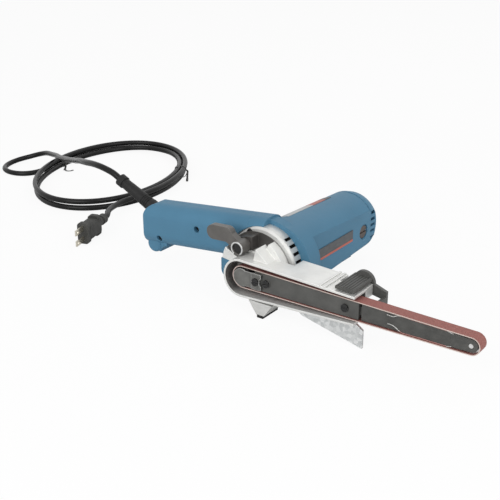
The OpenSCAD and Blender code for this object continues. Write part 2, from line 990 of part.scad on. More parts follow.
function coil_in(t) = t < coil_turns / 2 ? t : coil_turns - t;
function climb(t) =
    let (s = min(1, max(0, 2 * (t - coil_turns / 2) + 0.5)))
    s * s * (3 - 2 * s);

function coil_at(t) =
    let (
        a = coil_start - 360 * t,
        inset = coil_step * coil_in(t),
        x = (coil_long - inset) * cos(a),
        y = (coil_short - inset) * sin(a)
    )
    [
        coil_mid[0] + x * cos(coil_turn) - y * sin(coil_turn),
        coil_mid[1] + x * sin(coil_turn) + y * cos(coil_turn),
        coil_low + coil_layer * climb(t)
    ];

coil_steps = round(coil_turns * coil_rings);
coil_body = [for (k = [0 : coil_steps]) coil_at(k * coil_turns / coil_steps)];
coil_in_dir = unit(coil_body[1] - coil_body[0]);
coil_out_dir = unit(coil_body[coil_steps] - coil_body[coil_steps - 1]);
coil_from = coil_body[0] - cord_d * coil_in_dir;
coil_to = coil_body[coil_steps] + cord_d * coil_out_dir;
coil_path = concat([coil_from], coil_body, [coil_to]);

function min_gap(p, apart) = min([
    for (i = [0 : len(p) - 1])
        for (j = [i + apart : 1 : len(p) - 1])
            norm(p[i] - p[j])
]) - cord_d;

echo(coil_gap = min_gap([for (k = [0 : 600]) coil_at(k * coil_turns / 600)], 100));

cord_path = concat(
    [guard_end, guard_end + 12 * guard_dir],
    cord_points,
    [coil_from - 12 * coil_in_dir, coil_from]
);
plug_dir = [cos(plug_heading), sin(plug_heading), 0];
lead_path = concat(
    [coil_to, coil_to + 12 * coil_out_dir],
    lead_points,
    [plug_at - 9 * plug_dir, plug_at]
);

function path_length(p) = len(p) < 2 ? 0 : [
    for (i = 0, s = 0; i < len(p); i = i + 1, s = s + (i < len(p) ? norm(p[i] - p[i - 1]) : 0)) s
][len(p) - 1];

echo(cord_length = path_length(cord_path) + path_length(coil_path) + path_length(lead_path));

module cord_guard() {
    beads = 4;
    color([0.16, 0.16, 0.16]) tool() guard_axis() difference() {
        union() {
            translate([0, 0, -6]) cylinder(r = guard_r, h = 20);
            translate([0, 0, 14]) cylinder(r1 = guard_r - 0.4, r2 = cord_r + 2.2, h = guard_l - 20);
            translate([0, 0, guard_l - 7]) cylinder(r = cord_r + 3.4, h = 7);
        }
        for (k = [0 : beads - 1]) {
            translate([0, 0, 16 + 2.4 * k]) difference() {
                cylinder(r = guard_r + eps, h = 1);
                cylinder(r = guard_r - 1.3, h = 1);
            }
        }
    }
}

module cord() {
    color([0.14, 0.14, 0.14]) on_floor() tube(cord_path, cord_r, 10);
}

module cord_coil() {
    color([0.14, 0.14, 0.14]) on_floor() tube(coil_path, cord_r, 6);
}

module plug_lead() {
    color([0.14, 0.14, 0.14]) on_floor() tube(lead_path, cord_r, 10);
}

module on_plug() {
    on_floor() translate(plug_at) rotate([0, 0, plug_heading]) children();
}

module cord_ties() {
    color([0.10, 0.10, 0.10]) on_floor() {
        for (t = [0.012, 0.44]) {
            tie_at(t);
        }
    }
}

function strands(t) = [for (k = [0 : floor(coil_turns - t)]) coil_in(t + k)];

module tie_at(t) {
    wire = 0.4;
    room = 1.6;
    here = coil_at(t);
    ahead = coil_at(t + 0.01) - here;
    across = strands(t);
    shift = coil_step * ((max(across) + min(across)) / 2 - coil_in(t));
    wide = coil_step * (max(across) - min(across)) + cord_d + room;
    high = coil_layer + cord_d + room;
    translate([here[0], here[1], 0]) rotate([0, 0, atan2(ahead[1], ahead[0])])
        translate([0, -shift, coil_low + coil_layer / 2]) rotate([0, 90, 0])
            linear_extrude(2, center = true) difference() {
                round_rect(high + 2 * wire, wide + 2 * wire, cord_r + wire);
                round_rect(high, wide, cord_r);
            }
}

module plug() {
    relief_l = 20;
    color([0.13, 0.13, 0.13]) on_plug() difference() {
        union() {
            xcyl(cord_r + 2.6, 0, 8);
            translate([8, 0, 0]) rotate([0, 90, 0]) cylinder(r1 = cord_r + 1.4, r2 = cord_r + 3.2, h = 12);
            translate([relief_l, 0, 0]) rotate([90, 0, 90]) linear_extrude(plug_l - 6)
                round_rect(plug_t, plug_w - 5, 4);
            for (x = [relief_l, relief_l + plug_l - 6]) {
                translate([x, 0, 0]) rotate([90, 0, 90]) linear_extrude(6)
                    round_rect(plug_t - 1, plug_w, 4);
            }
        }
        for (s = [-1, 1]) {
            translate([relief_l + plug_l - 8, -blade_t / 2, s * blade_gap / 2 - blade_w / 2])
                cube([9, blade_t, blade_w]);
        }
    }
}

module plug_blades() {
    relief_l = 20;
    color([0.80, 0.78, 0.70]) on_plug() {
        for (s = [-1, 1]) {
            translate([relief_l + plug_l - 8, 0, s * blade_gap / 2]) difference() {
                translate([0, -blade_t / 2, -blade_w / 2]) cube([8 + blade_l, blade_t, blade_w]);
                translate([4 + blade_l, 0, 0]) rotate([90, 0, 0])
                    cylinder(r = 1.6, h = 3 * blade_t, center = true);
            }
        }
    }
}

belt();
belt_cover();
drive_shield();
shield_screw();
arm_holder();
holder_screws();
arm_bar();
arm_shoes();
tip_axle();
tip_roller();
release_lever();
lever_pin();
skirt();
spindle();
drive_pulley();
spindle_bearing();
gear_housing();
housing_screws();
foot_strip();
clamp_base();
clamp_lever();
clamp_clip();
clamp_bolt();
motor_housing();
brush_caps();
badge();
badge_stripe();
nameplate();
grip_cover();
grip_screws();
switch_slider();
cord_guard();
cord();
cord_coil();
cord_ties();
plug_lead();
plug();
plug_blades();
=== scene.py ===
"""Looks of the power file: camera, studio, lead, ties, strips and a finish for every node."""

import math

import bmesh
import bpy
from bpy.props import FloatProperty, FloatVectorProperty, IntProperty, PointerProperty
from bpy.types import Operator, Panel, PropertyGroup
from mathutils import Matrix, Vector


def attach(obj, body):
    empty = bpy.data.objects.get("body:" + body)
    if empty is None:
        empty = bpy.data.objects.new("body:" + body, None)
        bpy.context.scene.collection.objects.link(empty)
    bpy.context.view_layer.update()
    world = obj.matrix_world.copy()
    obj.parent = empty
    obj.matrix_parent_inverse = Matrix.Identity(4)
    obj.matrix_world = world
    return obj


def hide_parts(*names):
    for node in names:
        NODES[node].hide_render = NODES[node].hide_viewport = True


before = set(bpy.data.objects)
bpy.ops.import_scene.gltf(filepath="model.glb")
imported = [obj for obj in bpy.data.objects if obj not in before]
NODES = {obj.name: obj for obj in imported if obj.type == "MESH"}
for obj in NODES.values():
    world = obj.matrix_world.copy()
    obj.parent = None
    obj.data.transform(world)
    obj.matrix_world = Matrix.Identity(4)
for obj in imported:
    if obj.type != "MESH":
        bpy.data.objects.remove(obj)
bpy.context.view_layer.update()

bl_info = {
    "name": "Power file looks",
    "version": (1, 0, 0),
    "blender": (4, 5, 0),
    "location": "View3D > Sidebar > Power file",
    "description": "Dresses the packed power file: studio, lead, ties, strips and finishes",
    "category": "Object",
}

MM = 0.001
UP = Vector((0.0, 0.0, 1.0))

# From the tool's own frame to the part's frame, in millimetres, and the same for points whose
# heights are from the floor
TOOL_SHIFT = Vector((-45.592, -93.5, 36.0))
FLOOR_SHIFT = Vector((TOOL_SHIFT.x, TOOL_SHIFT.y, 0.0))

# The camera that fits the photograph, in the tool's frame: its turn and drop in degrees, its
# distance in millimetres, its focus and half its frame in pixels, and its shifts in both multiplied
VIEW_TURN = 36.1
VIEW_DROP = 22.934
VIEW_AWAY = 900.0
VIEW_FOCUS = 934.44
VIEW_SIDE = -7000.4
VIEW_RISE = -24214.3
HALF_FRAME = 250.0
CLIP_NEAR = 0.01
CLIP_FAR = 20.0

# The studio, in metres and watts: each lamp's name, place, size and power
LAMPS = (
    ("key_light", (-0.10, -1.35, 0.75), 1.1, 9.5),
    ("side_light", (1.25, -0.45, 0.80), 0.9, 6.5),
    ("back_light", (-0.2, 1.2, 1.3), 1.0, 2.5),
)
LAMP_AIM = Vector((0.0, -0.02, 0.04))
FLOOR_HALF = 6.0
FLOOR_TONE = 0.9
FLOOR_OWN_WHITE = 0.92
SURROUND_LIGHT = 0.55

# The lead's guard, in the tool's frame, and its route, with heights from the floor
GUARD_AT = (-144.0, 46.0, 20.2)
GUARD_ANGLE = 25.4
GUARD_LENGTH = 62.0
ROUTE = [
    (-229, 46.5, 91.5), (-247, 51, 90.5), (-265, 58, 87), (-282, 68, 82.5), (-299, 80, 77),
    (-315, 92, 71), (-331, 104, 65), (-347, 116, 59.5), (-363, 127, 54), (-380, 138, 48.5),
    (-397, 149, 43.5), (-414, 160, 38.5), (-431, 171, 33.5), (-448, 182, 29), (-464, 193, 25),
    (-485, 203.5, 20.5), (-506.5, 211.5, 16.5), (-521, 210, 12.5), (-533, 202.5, 8.5),
    (-541, 190.5, 6), (-542.5, 176, 4.5), (-537.5, 162.5, 4), (-527.5, 152.5, 4),
    (-514, 148, 4), (-499.5, 149.5, 4), (-487.5, 157.5, 4), (-480, 170, 4.5),
]
LEAD_ROUTE = [(-286, 132, 12), (-283, 115, 12), (-276, 100, 13)]
CORD_WIDE = 7.0
CORD_STEPS = 4
STRAIGHT_RUN = 12.0
PLUG_AT = Vector((-263.0, 78.0, 13.0))
PLUG_HEADING = -72.0
PLUG_RUN = 9.0

# The coil: an oval that spirals in on the floor and out again on a second layer
COIL_MID = (-385.0, 218.0)
COIL_LONG = 137.0
COIL_SHORT = 97.0
COIL_TURN = 110.0
COIL_START = 82.0
COIL_TURNS = 2.578
COIL_STEP = 7.8
COIL_LAYER = 7.8
COIL_RINGS = 24
COIL_LOW = 5.0
COIL_NUDGE = 0.01  # turns, to find which way the lead runs

# The wire ties: their places along the coil in turns, which one ends in a hook, and the way the
# tails point; then the section, a wire core between two wings
TIE_TURNS = (0.012, 0.44)
TIE_HOOKS = (True, False)
TIE_WAY = Vector((0.589, -0.808, 0.0))
TIE_SECTION = [
    (-1.5, -0.15), (-0.45, -0.2), (0.0, -0.45), (0.45, -0.2), (1.5, -0.15),
    (1.5, 0.15), (0.45, 0.2), (0.0, 0.45), (-0.45, 0.2), (-1.5, 0.15),
]

# A tie's loop round the strands, and the knot where its two ends meet
TIE_SLACK = 0.6
TIE_SQUARENESS = 3.2
TIE_MOUTH = 20
TIE_STEPS = 40
KNOT_OUT = 2.0

# A tie's tails: the twist, then a hook on the floor or a short cut end
TWIST_LENGTH = 11.0
TWIST_TURNS = 2.5
TWIST_RADIUS = 0.75
TWIST_LOW = 2.4
TWIST_STEPS = 30
HOOK_RADIUS = 5.5
HOOK_ARC = 170
HOOK_LOW = 0.9
HOOK_STEPS = 16
HOOK_SETTLE = 6
CUT_STEPS = 6
CUT_STEP = 1.1
CUT_DROP = 0.1

# The arm's spring strips, in the tool's frame: half the belt loop's inner height, its fall along
# the arm, the strips' edges, how deep each dips below the belt, and where belt dust lies on them
LOOP_HALF = 10.6
LOOP_FALL = 0.01276
STRIP_FRONT = 1.1
STRIP_BACK = 11.7
STRIP_OFF = 0.7
STRIP_THICK = 0.6
STRIP_STEPS = 4
UPPER_STRIP = [
    (156, 2.3), (159, 2.6), (162, 2.5), (164, 1.7), (166, 0.5), (168, 0), (180, 0), (196, 0),
    (213, 0), (215, 0.3), (217, 1.0), (219, 1.4),
]
LOWER_STRIP = [
    (157, 5.0), (160, 4.9), (163, 4.3), (166, 2.7), (169, 0.8), (171, 0), (182, 0), (197, 0),
    (214, 0), (217, 0.7), (219, 1.9), (221, 2.7),
]
DUST_FROM = 169.0
DUST_TO = 213.0
DUST_FADE = 1.0
DUST_SHARE = 0.85

# How far a mask reaches past a face, so that it takes the face in
FACE_SLACK = 0.05

# The gear housing's ring with its vent slots, in the tool's frame, where the slots get painted
# shade
RING_X = 3.0
RING_Z = 3.5
RING_R = 39.0
RING_BACK = 41.0
SLOT_LONG = 9.0
SLOT_SUNK = 0.3

# Where the nameplate's print changes colour, in the tool's frame
RED_FROM = 114.0
BLACK_FROM = 138.0
PRINT_EDGE = 0.3

# The belt cover's tray, in the tool's frame
COVER_R = 19.6
COVER_WALL = 2.2
NOSE_X = 126.0
NOSE_UP = 15.4
NOSE_DOWN = 13.0
TRAY_BACK = 15.9
TRAY_R = COVER_R - COVER_WALL
TRAY_FOOT_FROM = 13.5

# An edge counts as rubbed, and on the shield as lit by a painted highlight, between these cosines
# of the face and its rounded normal
EDGE_SAMPLES = 6
EDGE_FROM = 0.995
EDGE_FULL = 0.80

# How much of bare metal there is in each kind of metal's look
ALLOY_METAL = 0.55
BLACKENED_METAL = 0.2
SHEET_METAL = 0.7
STEEL_METAL = 0.9
NICKEL_METAL = 0.95

# Tones of single finishes; a pair goes from one to the other with a noise
ALLOY_TINT = 0.84
# Inside the cover's tray: dark paint with painted shade, and the lighter tone towards the foot
TRAY_PAINT_AND_SHADE = ((0.105, 0.103, 0.098), (0.20, 0.19, 0.18))
TRAY_FOOT_TONE = ((0.34, 0.34, 0.33), (0.46, 0.46, 0.45))
SCREW_EDGE = (0.20, 0.20, 0.195)
ARM_EDGE = (0.26, 0.26, 0.25)
# Painted highlight along the shield's rim
SHIELD_HIGHLIGHT = (1.0, 1.0, 0.98)
SPRING_TONE = (0.52, 0.52, 0.50)
SPRING_EDGE = (0.85, 0.85, 0.83)
MOULDING_EDGE = (0.19, 0.19, 0.185)
CAP_TONE = (0.062, 0.045, 0.036)
BRIGHT_STEEL = ((0.60, 0.61, 0.61), (0.74, 0.74, 0.73))
BRIGHT_EDGE = (0.85, 0.85, 0.84)
ZINC = ((0.50, 0.52, 0.52), (0.72, 0.73, 0.73))
ZINC_FINE = (0.80, 0.81, 0.81)
BELT_CLOTH = ((0.50, 0.39, 0.345), (0.68, 0.57, 0.52))
PRINT_DOT = (0.02, 0.02, 0.02)
SCUFF = (0.6, 0.6, 0.6)
BADGE_DARK = ((0.060, 0.064, 0.070), (0.085, 0.088, 0.092))
STRIPE_RED = ((0.42, 0.080, 0.048), (0.52, 0.105, 0.065))
PLATE_GREY = ((0.44, 0.45, 0.45), (0.56, 0.57, 0.57))
PLATE_RED = (0.40, 0.10, 0.075)
PLATE_BLACK = (0.055, 0.055, 0.055)
NICKEL = ((0.62, 0.58, 0.48), (0.76, 0.72, 0.62))


class PowerFileLooks(PropertyGroup):
    """Colours and sizes of the dressed power file."""

    shell_colour: FloatVectorProperty(
        name="Shell", description="Colour of the moulded motor housing and grip",
        subtype="COLOR", size=3, min=0, max=1, default=(0.068, 0.188, 0.292))
    alloy_colour: FloatVectorProperty(
        name="Alloy", description="Colour of the cast gear housing and belt cover",
        subtype="COLOR", size=3, min=0, max=1, default=(0.75, 0.75, 0.73))
    grit_colour: FloatVectorProperty(
        name="Grit", description="Colour of the abrasive side of the belt",
        subtype="COLOR", size=3, min=0, max=1, default=(0.29, 0.112, 0.096))
    # The black parts' colour is also the painted shade in the ring's vent slots
    dark_colour: FloatVectorProperty(
        name="Black parts", description="Colour of the lead, the rubber and the screws",
        subtype="COLOR", size=3, min=0, max=1, default=(0.014, 0.014, 0.014))
    grey_colour: FloatVectorProperty(
        name="Dark grey parts",
        description="Colour of the arm, its guide block and the thumb lever",
        subtype="COLOR", size=3, min=0, max=1, default=(0.066, 0.066, 0.062))
    clamp_colour: FloatVectorProperty(
        name="Clamp", description="Colour of the clamp lever",
        subtype="COLOR", size=3, min=0, max=1, default=(0.085, 0.080, 0.074))
    cord_length: FloatProperty(
        name="Cord length", description="Length of the mains lead from the guard to the plug",
        unit="LENGTH", default=2.4699, min=1.0, max=5.0)
    cord_width: FloatProperty(
        name="Cord width", description="Diameter of the mains lead",
        unit="LENGTH", default=CORD_WIDE * MM, min=0.004, max=0.012)
    tie_size: FloatProperty(
        name="Tie size", description="Width of a wire tie compared with a 3 mm one",
        default=1.0, min=0.5, max=1.5)
    grain: FloatProperty(
        name="Grain", description="Depth of the moulded grain on the shell",
        default=0.12, min=0.0, max=1.0)
    cord_sides: IntProperty(
        name="Cord roundness", description="Bevel steps round the lead", default=5, min=2, max=10)


# Lines and curves

def unit(v):
    """The vector at length one."""
    return v / v.length


def heading(points, i):
    """The way a row of points runs at one of them."""
    return unit(points[min(i + 1, len(points) - 1)] - points[max(i - 1, 0)])


def eased(s):
    """A share from nought to one that starts and ends slowly."""
    return s * s * (3 - 2 * s)


def coil_inset(t):
    """How many steps the coil has spiralled in after t turns."""
    return t if t < COIL_TURNS / 2 else COIL_TURNS - t


def coil_climb(t):
    """Share of the second layer reached after t turns."""
    return eased(min(1.0, max(0.0, 2 * (t - COIL_TURNS / 2) + 0.5)))


def coil_point(t):
    """Centre of the lead in its coil after t turns, in millimetres."""
    a = math.radians(COIL_START - 360 * t)
    inset = COIL_STEP * coil_inset(t)
    x = (COIL_LONG - inset) * math.cos(a)
    y = (COIL_SHORT - inset) * math.sin(a)
    turn = math.radians(COIL_TURN)
    return Vector((
        COIL_MID[0] + x * math.cos(turn) - y * math.sin(turn),
        COIL_MID[1] + x * math.sin(turn) + y * math.cos(turn),
        COIL_LOW + COIL_LAYER * coil_climb(t)))


def guard_end():
    """Where the lead leaves its guard, in millimetres from the floor, and its direction there."""
    a = math.radians(GUARD_ANGLE)
    way = Vector((-math.cos(a), 0, math.sin(a)))
    base = Vector(GUARD_AT) + Vector((0, 0, TOOL_SHIFT.z))
    return base + GUARD_LENGTH * way, way


def lead_points():
    """The whole route of the lead, from the guard through the coil to the plug."""
    start, way = guard_end()
    steps = round(COIL_TURNS * COIL_RINGS)
    coil = [coil_point(k * COIL_TURNS / steps) for k in range(steps + 1)]
    way_in = unit(coil[1] - coil[0])
    way_out = unit(coil[-1] - coil[-2])
    coil_from = coil[0] - CORD_WIDE * way_in
    coil_to = coil[-1] + CORD_WIDE * way_out
    h = math.radians(PLUG_HEADING)
    plug_way = Vector((math.cos(h), math.sin(h), 0))
    route = [start, start + STRAIGHT_RUN * way]
    route += [Vector(p) for p in ROUTE]
    route += [coil_from - STRAIGHT_RUN * way_in, coil_from] + coil
    route += [coil_to, coil_to + STRAIGHT_RUN * way_out]
    route += [Vector(p) for p in LEAD_ROUTE]
    route += [PLUG_AT - PLUG_RUN * plug_way, PLUG_AT.copy()]
    return route


def smoothed(points, steps):
    """The points joined by an even curve that passes through each of them."""
    out = []
    last = len(points) - 1
    for i in range(last):
        p0, p1 = points[max(i - 1, 0)], points[i]
        p2, p3 = points[i + 1], points[min(i + 2, last)]
        d = (p2 - p1).length
        m1 = (p2 - p0) * (d / max((p1 - p0).length + d, 1e-6))
        m2 = (p3 - p1) * (d / max((p3 - p2).length + d, 1e-6))
        for k in range(steps):
            s = k / steps
            a = 2 * s ** 3 - 3 * s ** 2 + 1
            b = s ** 3 - 2 * s ** 2 + s
            c = -2 * s ** 3 + 3 * s ** 2
            e = s ** 3 - s ** 2
            out.append(a * p1 + b * m1 + c * p2 + e * m2)
    out.append(points[last])
    return out


# Colours and node trees

def tint(colour, by):
    """A colour made lighter or darker by a factor."""
    return tuple(min(1.0, c * by) for c in colour)


def shades(colour, dark, light):
    """A pair of tones of one colour."""
    return tint(colour, dark), tint(colour, light)


class Maker:
    """Builds one material's node tree."""

    def __init__(self, name):
        self.material = bpy.data.materials.new(name)
        self.material.use_nodes = True
        self.tree = self.material.node_tree
        self.surface = self.tree.nodes["Principled BSDF"]
        self.place = self.add("ShaderNodeTexCoord").outputs["Object"]

    def add(self, kind, **values):
        """A new node, with its settings."""
        made = self.tree.nodes.new(kind)
        for key, value in values.items():
            setattr(made, key, value)
        return made

    def join(self, out, into):
        """Links an output to an input."""
        self.tree.links.new(out, into)

    def set(self, **sockets):
        """Sets constant values on the shader's own sockets."""
        for key, value in sockets.items():
            self.surface.inputs[key.replace("_", " ")].default_value = value

    def stretched(self, scale):
        """Object coordinates scaled unevenly."""
        made = self.add("ShaderNodeMapping")
        made.inputs["Scale"].default_value = scale
        self.join(self.place, made.inputs["Vector"])
        return made.outputs["Vector"]

    def noise(self, scale, detail=3.0, rough=0.55, place=None):
        """A noise value over the surface."""
        made = self.add("ShaderNodeTexNoise")
        made.inputs["Scale"].default_value = scale
        made.inputs["Detail"].default_value = detail
        made.inputs["Roughness"].default_value = rough
        self.join(place or self.place, made.inputs["Vector"])
        return made.outputs["Fac"]

    def cells(self, scale, out="Distance"):
        """Distance to the nearest point of a field of cells, or the cell's own colour."""
        made = self.add("ShaderNodeTexVoronoi")
        made.inputs["Scale"].default_value = scale
        self.join(self.place, made.inputs["Vector"])
        return made.outputs[out]

    def ramp(self, value, low, high, to_low=0.0, to_high=1.0):
        """A value mapped from one range to another, clamped."""
        made = self.add("ShaderNodeMapRange")
        made.inputs["From Min"].default_value = low
        made.inputs["From Max"].default_value = high
        made.inputs["To Min"].default_value = to_low
        made.inputs["To Max"].default_value = to_high
        self.join(value, made.inputs["Value"])
        return made.outputs["Result"]

    def blend(self, share, first, second):
        """A colour between two colours or colour outputs."""
        made = self.add("ShaderNodeMix", data_type="RGBA")
        self.join(share, made.inputs["Factor"])
        for socket, value in (("A", first), ("B", second)):
            into = [i for i in made.inputs if i.name == socket and i.type == "RGBA"][0]
            if isinstance(value, bpy.types.NodeSocket):
                self.join(value, into)
            else:
                into.default_value = (*value, 1.0)
        return [o for o in made.outputs if o.type == "RGBA"][0]

    def tones(self, value, pair, low=0.3, high=0.7):
        """A colour that goes from one tone of a pair to the other with a value."""
        return self.blend(self.ramp(value, low, high), *pair)

    def maths(self, kind, *values):
        """One step of arithmetic on outputs or numbers."""
        made = self.add("ShaderNodeMath", operation=kind)
        for socket, value in zip(made.inputs, values):
            if isinstance(value, bpy.types.NodeSocket):
                self.join(value, socket)
            else:
                socket.default_value = value
        return made.outputs[0]

    def sum(self, first, second, weight):
        """first plus weight times second."""
        return self.maths("MULTIPLY_ADD", second, weight, first)

    def length(self, a, b):
        """Length of the line with two sides a and b."""
        return self.maths(
            "SQRT", self.maths("ADD", self.maths("MULTIPLY", a, a), self.maths("MULTIPLY", b, b)))

    def parts(self, vector):
        """The three parts of a vector output."""
        made = self.add("ShaderNodeSeparateXYZ")
        self.join(vector, made.inputs[0])
        return made.outputs

    def tool_place(self):
        """The surface point in the tool's own frame, in millimetres."""
        return [self.maths("MULTIPLY_ADD", out, 1 / MM, -shift)
                for out, shift in zip(self.parts(self.place), TOOL_SHIFT)]

    def slots(self):
        """One inside the ring's vent slots, else nought: where painted shade stands in for the dark
        fan space behind them.
        """
        x, y, z = self.tool_place()
        away = self.length(self.maths("SUBTRACT", x, RING_X), self.maths("SUBTRACT", z, RING_Z))
        sunk = self.maths("LESS_THAN", away, RING_R - SLOT_SUNK)
        run = self.maths(
            "MULTIPLY", self.maths("GREATER_THAN", y, RING_BACK - SLOT_LONG - FACE_SLACK),
            self.maths("LESS_THAN", y, RING_BACK + FACE_SLACK))
        return self.maths("MULTIPLY", sunk, run)

    def edge(self, radius):
        """How close the surface is to a sharp edge, and the normal with that edge rounded."""
        soft = self.add("ShaderNodeBevel", samples=EDGE_SAMPLES)
        soft.inputs["Radius"].default_value = radius
        flat = self.add("ShaderNodeNewGeometry")
        dot = self.add("ShaderNodeVectorMath", operation="DOT_PRODUCT")
        self.join(soft.outputs["Normal"], dot.inputs[0])
        self.join(flat.outputs["Normal"], dot.inputs[1])
        return self.ramp(dot.outputs["Value"], EDGE_FROM, EDGE_FULL), soft.outputs["Normal"]

    def bump(self, height, strength, distance, normal=None):
        """Puts a height on the surface's normal."""
        made = self.add("ShaderNodeBump")
        made.inputs["Strength"].default_value = strength
        made.inputs["Distance"].default_value = distance
        self.join(height, made.inputs["Height"])
        if normal is not None:
            self.join(normal, made.inputs["Normal"])
        self.join(made.outputs["Normal"], self.surface.inputs["Normal"])

    def colour(self, out):
        """Links the base colour."""
        self.join(out, self.surface.inputs["Base Color"])

    def roughness(self, out):
        """Links the roughness."""
        self.join(out, self.surface.inputs["Roughness"])


# Finishes

def moulded_shell(looks):
    """Blue moulded plastic: fine spark grain, faint flow marks, edges rubbed paler."""
    m = Maker("moulded_shell")
    base = looks.shell_colour
    edge, normal = m.edge(1.2 * MM)
    flow = m.noise(scale=16, detail=2.0)
    worn = m.noise(scale=240, detail=4.0)
    grain = m.noise(scale=2600, detail=2.0, rough=0.6)
    body = m.tones(flow, shades(base, 0.95, 1.06), 0.35, 0.65)
    body = m.blend(m.ramp(grain, 0.40, 0.60, to_high=0.22), body, tint(base, 1.30))
    rub = m.maths("MULTIPLY", edge, m.ramp(worn, 0.35, 0.70, to_low=0.05, to_high=0.40))
    body = m.blend(rub, body, tint(base, 1.75))
    # Painted shade: near black inside the ring's vent slots
    m.colour(m.blend(m.slots(), body, looks.dark_colour))
    m.roughness(m.ramp(m.sum(grain, worn, 0.5), 0.4, 1.1, to_low=0.42, to_high=0.58))
    m.bump(m.sum(grain, flow, 0.2), strength=looks.grain, distance=0.4 * MM, normal=normal)
    m.set(Specular_IOR_Level=0.28)
    return m.material


def alloy(name, base):
    """Light cast aluminium: sand-fine surface, brighter where edges are rubbed."""
    m = Maker(name)
    edge, normal = m.edge(0.8 * MM)
    cloud = m.noise(scale=60)
    sand = m.noise(scale=1900, rough=0.65)
    pits = m.cells(scale=1300)
    body = m.tones(cloud, shades(base, 0.90, 1.04))
    body = m.blend(m.ramp(pits, 0.05, 0.22, to_low=0.35, to_high=0.0), body, tint(base, 0.62))
    body = m.blend(m.ramp(edge, 0.2, 1.0, to_high=0.7), body, tint(base, 1.25))
    m.roughness(m.ramp(sand, 0.3, 0.7, to_low=0.36, to_high=0.52))
    m.bump(m.sum(sand, pits, 0.5), strength=0.16, distance=0.3 * MM, normal=normal)
    m.set(Metallic=ALLOY_METAL, Specular_IOR_Level=0.5)
    return m, body


def cast_alloy(looks):
    """The bare casting of the gear housing."""
    m, body = alloy("cast_alloy", tint(looks.alloy_colour, ALLOY_TINT))
    # Painted shade: near black inside the ring's vent slots
    m.colour(m.blend(m.slots(), body, looks.dark_colour))
    return m.material


def cover_alloy(looks):
    """The belt cover's casting, with its tray dark inside, partly dark paint and partly painted
    shade, and lighter towards the foot.
    """
    m, body = alloy("cover_alloy", looks.alloy_colour)
    x, y, z = m.tool_place()
    top = m.maths("ADD", z, m.maths("MULTIPLY", x, (COVER_R - NOSE_UP) / NOSE_X))
    foot = m.maths("SUBTRACT", m.maths("MULTIPLY", x, (COVER_R - NOSE_DOWN) / NOSE_X), z)
    ahead = m.maths("GREATER_THAN", x, 0.0)
    reach = m.maths(
        "ADD", m.maths("MULTIPLY", m.maths("MAXIMUM", top, foot), ahead),
        m.maths("MULTIPLY", m.length(x, z), m.maths("SUBTRACT", 1.0, ahead)))
    inside = m.maths("LESS_THAN", reach, TRAY_R + FACE_SLACK)
    tray = m.maths("MULTIPLY", inside, m.maths("LESS_THAN", y, TRAY_BACK))
    dust = m.noise(scale=420, detail=4.0, rough=0.7)
    # Dark paint and painted shade inside the tray, lighter towards the foot
    paint_and_shade = m.tones(dust, TRAY_PAINT_AND_SHADE, 0.45, 0.75)
    lighter_band = m.tones(dust, TRAY_FOOT_TONE, 0.35, 0.70)
    paint_and_shade = m.blend(m.ramp(foot, TRAY_FOOT_FROM, TRAY_R), paint_and_shade, lighter_band)
    m.colour(m.blend(tray, body, paint_and_shade))
    metal = m.maths("SUBTRACT", ALLOY_METAL, m.maths("MULTIPLY", tray, ALLOY_METAL))
    m.join(metal, m.surface.inputs["Metallic"])
    return m.material


def blackened(name, base, rim, lighter_band=0.4 * MM, dust=None):
    """Steel with a dry, slightly streaked surface, lighter along its edges, and belt dust on it:
    the edges are worn bare on most parts and carry a painted highlight on the shield.
    """
    m = Maker(name)
    edge, normal = m.edge(lighter_band)
    streak = m.noise(scale=900, rough=0.6, place=m.stretched((0.15, 1.0, 1.0)))
    cloud = m.noise(scale=90)
    body = m.tones(cloud, shades(base, 0.8, 1.3))
    body = m.blend(m.ramp(streak, 0.55, 0.75, to_high=0.3), body, tint(base, 1.8))
    # Lighter edges: bare wear on most parts, a painted highlight on the shield
    body = m.blend(m.ramp(edge, 0.3, 1.0, to_high=0.6), body, rim)
    if dust:
        along = m.tool_place()[0]
        share = m.maths(
            "MULTIPLY",
            m.ramp(along, DUST_FROM - DUST_FADE, DUST_FROM + DUST_FADE, to_high=DUST_SHARE),
            m.ramp(along, DUST_TO + DUST_FADE, DUST_TO - DUST_FADE))
        body = m.blend(share, body, dust)
    m.colour(body)
    m.roughness(m.ramp(streak, 0.3, 0.7, to_low=0.34, to_high=0.54))
    m.bump(streak, strength=0.10, distance=0.2 * MM, normal=normal)
    m.set(Metallic=BLACKENED_METAL, Specular_IOR_Level=0.4)
    return m.material


def black_steel(looks):
    """The black screws and the pulley."""
    return blackened("black_steel", looks.dark_colour, SCREW_EDGE)


def arm_steel(looks):
    """The arm, a little lighter than the screws."""
    return blackened("arm_steel", looks.grey_colour, ARM_EDGE)


def shield_steel(looks):
    """The pulley's shield: mid grey, with a painted highlight along the edges of its rim."""
    return blackened("shield_steel", tint(looks.grey_colour, 1.8), SHIELD_HIGHLIGHT, lighter_band=1.4 * MM)


def spring_steel(looks):
    """The arm's spring strips: bright rolled steel, red with dust where the belt runs on them."""
    return blackened("spring_steel", SPRING_TONE, SPRING_EDGE, lighter_band=0.8 * MM,
                     dust=tint(looks.grit_colour, 1.35))


def black_moulding(looks):
    """Dark grey plastic with a fine leather-like grain."""
    m = Maker("black_moulding")
    edge, normal = m.edge(0.5 * MM)
    grain = m.cells(scale=1700)
    cloud = m.noise(scale=50)
    body = m.tones(cloud, shades(looks.grey_colour, 0.85, 1.35))
    m.colour(m.blend(m.ramp(edge, 0.3, 1.0, to_high=0.4), body, MOULDING_EDGE))
    m.roughness(m.ramp(grain, 0.1, 0.5, to_low=0.36, to_high=0.52))
    m.bump(grain, strength=0.12, distance=0.3 * MM, normal=normal)
    m.set(Specular_IOR_Level=0.45)
    return m.material


